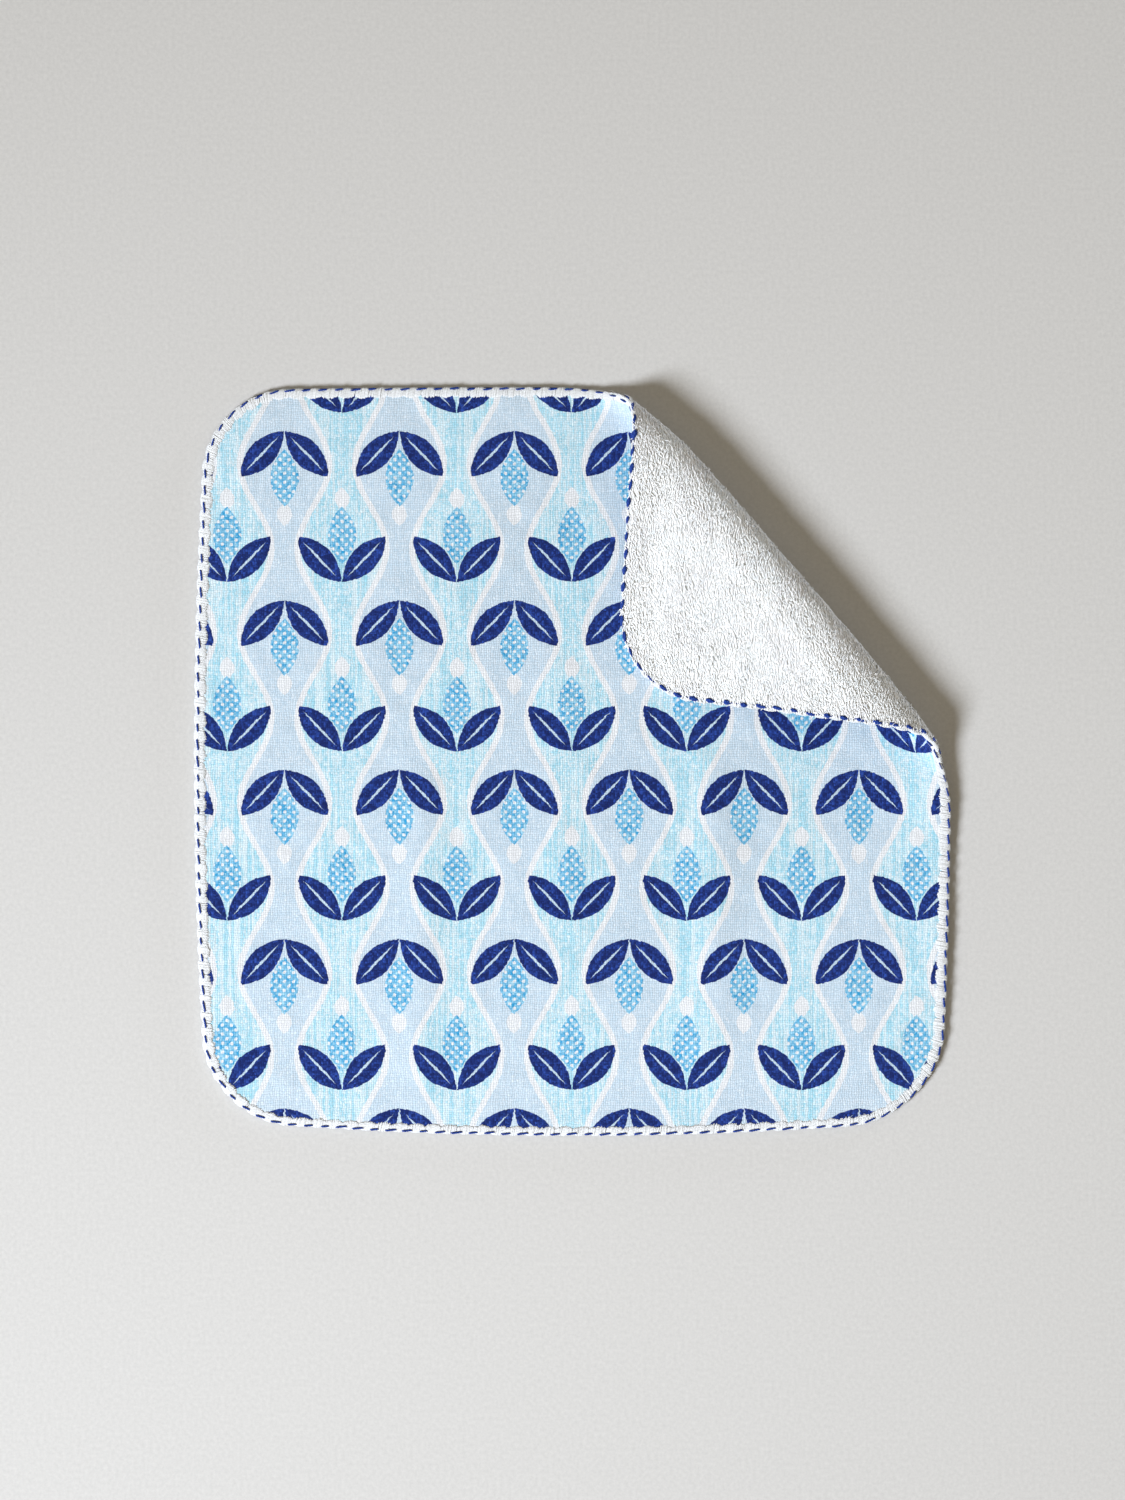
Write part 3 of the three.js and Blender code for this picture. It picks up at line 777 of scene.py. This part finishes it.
def printGroup():
    # Bands meet where |u| equals a quarter of the pair plus a sine of v; a leaf is where |q| is less than its
    # half width times 1 - (2p / length)^2
    group, t, given, out = newGroup("gauzePrint", [("Flat", vectorKind), ("Fleck", valueKind)],
                                    [("Color", "NodeSocketColor")])
    p = printing
    flatU, flatV = t.split(given["Flat"])
    threadU = t.math("FLOOR", t.math("DIVIDE", flatU, weave["pitch"]))
    threadV = t.math("FLOOR", t.math("DIVIDE", flatV, weave["pitch"]))
    shift = lambda thread: t.math("MULTIPLY", t.math("SUBTRACT", t.white(thread), 0.5), p["threadShift"])
    u = t.math("ADD", flatU, shift(threadV))
    v = t.math("ADD", flatV, shift(t.math("ADD", threadU, 700.0)))

    def wrap(x, span, middle):  # from the nearest of the middles that repeat at the span
        moved = t.math("ADD", x, span / 2 - middle)
        return t.math("SUBTRACT", t.math("FLOORED_MODULO", moved, span), span / 2)

    x0 = wrap(u, p["bandPair"], 0.0)
    x1 = wrap(u, p["bandPair"], p["bandPair"] / 2)
    y0 = wrap(v, p["bandRise"], p["bandRise"] / 4)
    y1 = t.math("MULTIPLY", wrap(v, p["bandRise"], -p["bandRise"] / 4), -1.0)
    swayWave = t.math("SINE", t.math("MULTIPLY", v, 2 * math.pi / p["bandRise"]))
    sway = t.math("MULTIPLY", swayWave, p["bandSway"])
    gap = t.math("SUBTRACT", t.math("ADD", sway, p["bandPair"] / 4), t.math("ABSOLUTE", x0))
    isLined = t.soft(gap, p["bandSoft"])
    inLined = t.math("GREATER_THAN", gap, 0.0)
    inPlain = t.math("SUBTRACT", 1.0, inLined)
    pick = lambda a, b: t.math("ADD", t.math("MULTIPLY", a, inLined), t.math("MULTIPLY", b, inPlain))
    x, y = pick(x0, x1), pick(y0, y1)
    side = t.math("ABSOLUTE", x)

    def leaf(along, across, length, width):
        curve = t.math("SUBTRACT", 1.0, t.math("POWER", t.math("MULTIPLY", along, 2 / length), 2.0))
        inside = t.math("SUBTRACT", t.math("MULTIPLY", curve, width / 2), t.math("ABSOLUTE", across))
        return t.soft(inside, p["leafSoft"])

    def inked(tone, dark, light):  # the threads' own tone lightens an ink
        level, width = p[tone]
        return t.mix(t.soft(t.math("SUBTRACT", given["Fleck"], level), width), p[dark], p[light])

    s = p["sideLeaf"]
    dx, dy = t.math("SUBTRACT", side, s["atX"]), t.math("SUBTRACT", y, s["atY"])
    c, n = math.cos(math.radians(s["angle"])), math.sin(math.radians(s["angle"]))
    along = t.math("ADD", t.math("MULTIPLY", dx, n), t.math("MULTIPLY", dy, c))
    across = t.math("SUBTRACT", t.math("MULTIPLY", dx, c), t.math("MULTIPLY", dy, n))
    sideMask = leaf(along, across, s["length"], s["width"])
    vein = leaf(along, across, s["length"] * p["vein"]["lengthShare"], p["vein"]["width"])
    middle = lambda row: leaf(t.math("SUBTRACT", y, row["at"]), x, row["length"], row["width"])
    wave = lambda value: t.math("COSINE", t.math("MULTIPLY", value, 2 * math.pi / p["dotPitch"]))
    dots = t.math("MULTIPLY", wave(x), wave(y))
    dotMask = t.soft(t.math("SUBTRACT", dots, p["dotLevel"]), p["dotSoft"])
    stripes = t.noise(t.mapping(given["Flat"], scale=(1 / p["linePitch"], 0.012, 1)), 2.0, 1)
    broken = t.math("MULTIPLY", t.math("SUBTRACT", given["Fleck"], 0.5), p["lineBreaks"])
    lines = t.soft(t.math("ADD", t.math("SUBTRACT", stripes, 0.5), broken), p["lineSoft"])
    lined = t.mix(lines, p["lined"], p["linedPale"])
    ground = t.mix(isLined, p["plain"], lined)
    outline = t.soft(t.math("SUBTRACT", p["outlineHalf"], t.math("ABSOLUTE", gap)), p["bandSoft"])
    level, width = p["bareTone"]
    bare = t.math("MULTIPLY", t.soft(t.math("SUBTRACT", given["Fleck"], level), width), p["bare"])
    ground = t.mix(bare, ground, p["white"])
    colour = t.mix(outline, ground, p["white"])
    colour = t.mix(sideMask, colour, inked("navyTone", "navy", "navyLight"))
    colour = t.mix(vein, colour, p["plain"])
    colour = t.mix(middle(p["bud"]), colour, p["white"])
    azure = inked("azureTone", "azure", "azureLight")
    dotted = t.mix(dotMask, t.mix(bare, azure, p["white"]), p["white"])
    colour = t.mix(middle(p["middleLeaf"]), colour, dotted)
    t.put(out["Color"], colour)
    return group


def newMaterial(name, **sockets):
    material = bpy.data.materials.new(name)
    material.use_nodes = True
    tools = Nodes(material.node_tree)
    shader = material.node_tree.nodes["Principled BSDF"]
    for label, value in sockets.items():
        shader.inputs[label].default_value = value
    return material, tools, shader


def addBump(tools, shader, height, strength, distance):
    bump = tools.node("ShaderNodeBump")
    bump.inputs["Strength"].default_value = strength
    bump.inputs["Distance"].default_value = distance
    tools.put(bump.inputs["Height"], height)
    tools.put(shader.inputs["Normal"], bump.outputs[0])


weaveNodes = weaveGroup()
printNodes = printGroup()


def flatUv(tools):  # the sheet's own map, in mm from the middle of the cloth
    uv = tools.node("ShaderNodeUVMap", uv_map="flatCloth").outputs[0]
    span = sheet["uvSpan"]
    return tools.mapping(uv, (-span / 2, -span / 2, 0), (span, span, 1))


gauze = {
    "shader": {"Roughness": 0.9, "Sheen Weight": 0.12, "Sheen Roughness": 0.6, "Specular IOR Level": 0.15},
    "tone": (0.4, 0.8),     # gain and floor of the yarn's own tone by streaks and by threads, and of the painted shade between the threads of the weave
    "grain": (0.2, 0.9),
    "depth": (0.38, 0.775),
    "bump": (0.6, 0.0002),  # strength, and metres
}


def gauzeMaterial():
    material, t, shader = newMaterial("printedGauze", **gauze["shader"])
    flat = flatUv(t)
    woven = useGroup(t, weaveNodes, Flat=flat)
    printed = useGroup(t, printNodes, Flat=flat, Fleck=woven["Fleck"])
    tone = t.math("MULTIPLY_ADD", woven["Streak"], *gauze["tone"])
    grain = t.math("MULTIPLY_ADD", woven["Fleck"], *gauze["grain"])
    # painted shade: the colour darkens where the weave's height is low, in the gaps between threads
    depth = t.math("MULTIPLY_ADD", woven["Height"], *gauze["depth"])
    toneAndGapShade = t.math("MULTIPLY", t.math("MULTIPLY", tone, grain), depth)
    t.put(shader.inputs["Base Color"], t.mix(1.0, printed["Color"], t.join(toneAndGapShade, toneAndGapShade, toneAndGapShade), "MULTIPLY"))
    addBump(t, shader, woven["Height"], *gauze["bump"])
    return material


terry = {
    "shader": {"Roughness": 0.95, "Specular IOR Level": 0.1, "Sheen Weight": 0.5, "Sheen Roughness": 0.7},
    "fuzz": 0.58,           # how far the short fibres turn the shading to the cloth's own slope
    "showThrough": 0.08,    # of the print, seen through the back
    "thick": linear(255, 253, 249),
    "thin": linear(238, 241, 241),
    "patch": {"scale": 0.8, "detail": 3, "roughness": 0.6},  # thin and thick places
    "patchLevel": 0.42,
    "patchSoft": 0.12,
    "ground": (linear(232, 237, 239), linear(252, 253, 251)),
    "speck": {"scale": 1.1, "detail": 3, "roughness": 0.65},
    "bump": (0.7, 0.0006),  # strength, and metres
}


def terryGround():
    material, t, shader = newMaterial("loopedGround", **terry["shader"])
    speck = t.noise(flatUv(t), **terry["speck"])
    t.put(shader.inputs["Base Color"], t.mix(speck, *terry["ground"]))
    addBump(t, shader, speck, *terry["bump"])
    return material


yarnLook = {
    "shader": {"Roughness": 0.92, "Specular IOR Level": 0.12},
    "ply": 0.9,             # mm along the yarn for one turn of its twist
    "plyShadeShare": 0.45,     # of the tone that is painted shade between plies; the fibres have the rest
    "fibre": {"scale": 900.0, "detail": 3, "roughness": 0.7},
    # Dark and light, spanning the fibres' tone and the painted shade between plies, and how far fuzz turns
    # the shading upwards
    "white": (linear(206, 208, 208), linear(237, 238, 238), 0.5),
    "navy": (linear(14, 34, 98), linear(54, 84, 168), 0.3),
}


def yarnGroup():
    # Twisted yarn: a sine along the yarn plus once round it, as painted shade in the grooves between plies,
    # with fibre noise on the object's place
    group, t, given, out = newGroup("yarnTwist", [("Uv", vectorKind), ("Place", vectorKind)],
                                    [("Twist", valueKind), ("Fibre", valueKind)])
    run, turn = t.split(given["Uv"])
    twists = t.math("MULTIPLY", run, yarnMapSpan * 2 * math.pi / yarnLook["ply"])
    phase = t.math("ADD", twists, t.math("MULTIPLY", turn, 2 * math.pi))
    t.put(out["Twist"], t.math("MULTIPLY_ADD", t.math("SINE", phase), 0.5, 0.5))
    t.put(out["Fibre"], t.noise(given["Place"], **yarnLook["fibre"]))
    return group


yarnNodes = yarnGroup()


def yarnMaterial(name, dark, light, upward):
    material, t, shader = newMaterial(name, **yarnLook["shader"])
    uv = t.node("ShaderNodeUVMap", uv_map="flatCloth").outputs[0]
    place = t.node("ShaderNodeTexCoord").outputs["Object"]
    yarn = useGroup(t, yarnNodes, Uv=uv, Place=place)
    # painted shade: the yarn darkens along the helix between its plies
    twist = t.math("MULTIPLY", yarn["Twist"], yarnLook["plyShadeShare"])
    tone = t.math("MULTIPLY_ADD", yarn["Fibre"], 1 - yarnLook["plyShadeShare"], twist)
    t.put(shader.inputs["Base Color"], t.mix(tone, dark, light))
    own = t.node("ShaderNodeNewGeometry").outputs["Normal"]
    t.put(shader.inputs["Normal"], t.blendNormal(own, (0.0, 0.0, 1.0), upward))
    return material


def pileMaterial():
    material, t, shader = newMaterial("pileYarn", **terry["shader"])
    flat = t.node("ShaderNodeAttribute", attribute_name="clothPlace").outputs["Vector"]
    outward = t.node("ShaderNodeAttribute", attribute_name="looseNormal").outputs["Vector"]
    own = t.node("ShaderNodeNewGeometry").outputs["Normal"]
    t.put(shader.inputs["Normal"], t.blendNormal(own, outward, terry["fuzz"]))
    woven = useGroup(t, weaveNodes, Flat=flat)
    printed = useGroup(t, printNodes, Flat=flat, Fleck=woven["Fleck"])
    patch = t.math("SUBTRACT", t.noise(flat, **terry["patch"]), terry["patchLevel"])
    white = t.mix(t.soft(patch, terry["patchSoft"]), terry["thin"], terry["thick"])
    through = t.mix(terry["showThrough"], (1, 1, 1, 1), printed["Color"])
    t.put(shader.inputs["Base Color"], t.mix(1.0, white, through, "MULTIPLY"))
    return material


clothSheet.data.materials.append(gauzeMaterial())
clothSheet.data.materials.append(terryGround())
pileYarn = pileMaterial()
for piece in piles:
    piece.data.materials.append(pileYarn)
edgingYarn.data.materials.append(yarnMaterial("edgingWhite", *yarnLook["white"]))
navyYarn = yarnMaterial("edgingNavy", *yarnLook["navy"])
for piece in (faceDashes, backDashes):
    piece.data.materials.append(navyYarn)
print("materials made")

# Every piece is part of the one cloth
trim = [*piles, edgingYarn, faceDashes, backDashes]
for piece in [clothSheet, *trim]:
    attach(piece, "root")
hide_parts(clothNode)

# Floor, light and camera
studio = {
    "pixelsPerMm": 3.018,
    "imageSize": (1125, 1500),
    "clothPixel": (571.5, 760.5),   # where the middle of the cloth's box lies in the picture
    "lens": 80.0,
    "sensor": 36.0,
    "floorColor": (0.582, 0.567, 0.539),
    "floorGrain": 800.0,            # paper grain, per metre
    "floorContrast": 0.16,
    "floorSize": 40.0,
    "keyAzimuth": 216.0,            # degrees, towards the light
    "keyElevation": 39.2,
    "keyDistance": 2.4,
    "keyAim": (0.07, -0.14, 0.0),
    "keySpread": 67.0,
    "keySize": 0.86,
    "keyPower": 11.85,
    "keyColor": (0.975, 1.045, 1.165),
    "worldLow": (0.115, 0.096, 0.066),   # the soft light near the floor
    "worldTop": (0.375, 0.322, 0.230),   # and overhead
    "fillAzimuth": 40.0,            # a weak low light on the roll's shaded side
    "fillElevation": 5.0,
    "fillDistance": 3.0,
    "fillSize": 0.5,
    "fillPower": 28.0,
    "fillColor": (0.93, 1.035, 1.22),
}


def makeFloor():
    half = studio["floorSize"] / 2
    mesh = bpy.data.meshes.new("floor")
    corners = [(-half, -half, 0), (half, -half, 0), (half, half, 0), (-half, half, 0)]
    mesh.from_pydata(corners, [], [(0, 1, 2, 3)])
    floor = bpy.data.objects.new("floor", mesh)
    bpy.context.scene.collection.objects.link(floor)
    material, t, shader = newMaterial("paleFloor", **{"Roughness": 0.85, "Specular IOR Level": 0.2})
    place = t.node("ShaderNodeTexCoord").outputs["Object"]
    grain = t.noise(place, studio["floorGrain"], detail=3, roughness=0.7)
    tinted = lambda share: (*(share * x for x in studio["floorColor"]), 1.0)
    low, high = tinted(1 - studio["floorContrast"]), tinted(1 + studio["floorContrast"])
    t.put(shader.inputs["Base Color"], t.mix(grain, low, high))
    floor.data.materials.append(material)


def makeLight(part, aim):  # a round soft light, from its direction as seen from the cloth
    turn, up = math.radians(studio[part + "Azimuth"]), math.radians(studio[part + "Elevation"])
    light = bpy.data.lights.new(part + "Light", "AREA")
    light.shape = "DISK"
    light.size = studio[part + "Size"]
    light.energy = studio[part + "Power"]
    light.color = studio[part + "Color"]
    lamp = bpy.data.objects.new(part + "Light", light)
    toLight = Vector((math.cos(turn) * math.cos(up), math.sin(turn) * math.cos(up), math.sin(up)))
    lamp.location = toLight * studio[part + "Distance"]
    lamp.rotation_euler = (lamp.location - Vector(aim)).to_track_quat("Z", "Y").to_euler()
    bpy.context.scene.collection.objects.link(lamp)
    return light


def makeWorld():  # soft light from everywhere, stronger overhead
    world = bpy.data.worlds.new("softWorld")
    world.use_nodes = True
    t = Nodes(world.node_tree)
    direction = t.node("ShaderNodeTexCoord").outputs["Generated"]
    height = t.node("ShaderNodeSeparateXYZ")
    t.put(height.inputs[0], direction)
    upward = t.math("MAXIMUM", height.outputs[2], 0.0)
    colour = t.mix(upward, (*studio["worldLow"], 1), (*studio["worldTop"], 1))
    t.put(world.node_tree.nodes["Background"].inputs["Color"], colour)
    bpy.context.scene.world = world


def makeCamera():
    data = bpy.data.cameras.new("overhead")
    data.lens = studio["lens"]
    data.sensor_width = studio["sensor"]
    camera = bpy.data.objects.new("overhead", data)
    perPixel = mm / studio["pixelsPerMm"]
    tall = studio["imageSize"][1] * perPixel
    middle = [(size / 2 - at) * perPixel for size, at in zip(studio["imageSize"], studio["clothPixel"])]
    camera.location = (middle[0], -middle[1], tall * studio["lens"] / studio["sensor"])
    bpy.context.scene.collection.objects.link(camera)
    bpy.context.scene.camera = camera
    bpy.context.scene.view_settings.view_transform = "Standard"


makeFloor()
makeLight("key", studio["keyAim"]).spread = math.radians(studio["keySpread"])
makeLight("fill", (0, 0, 0))
makeWorld()
makeCamera()
print("studio made")
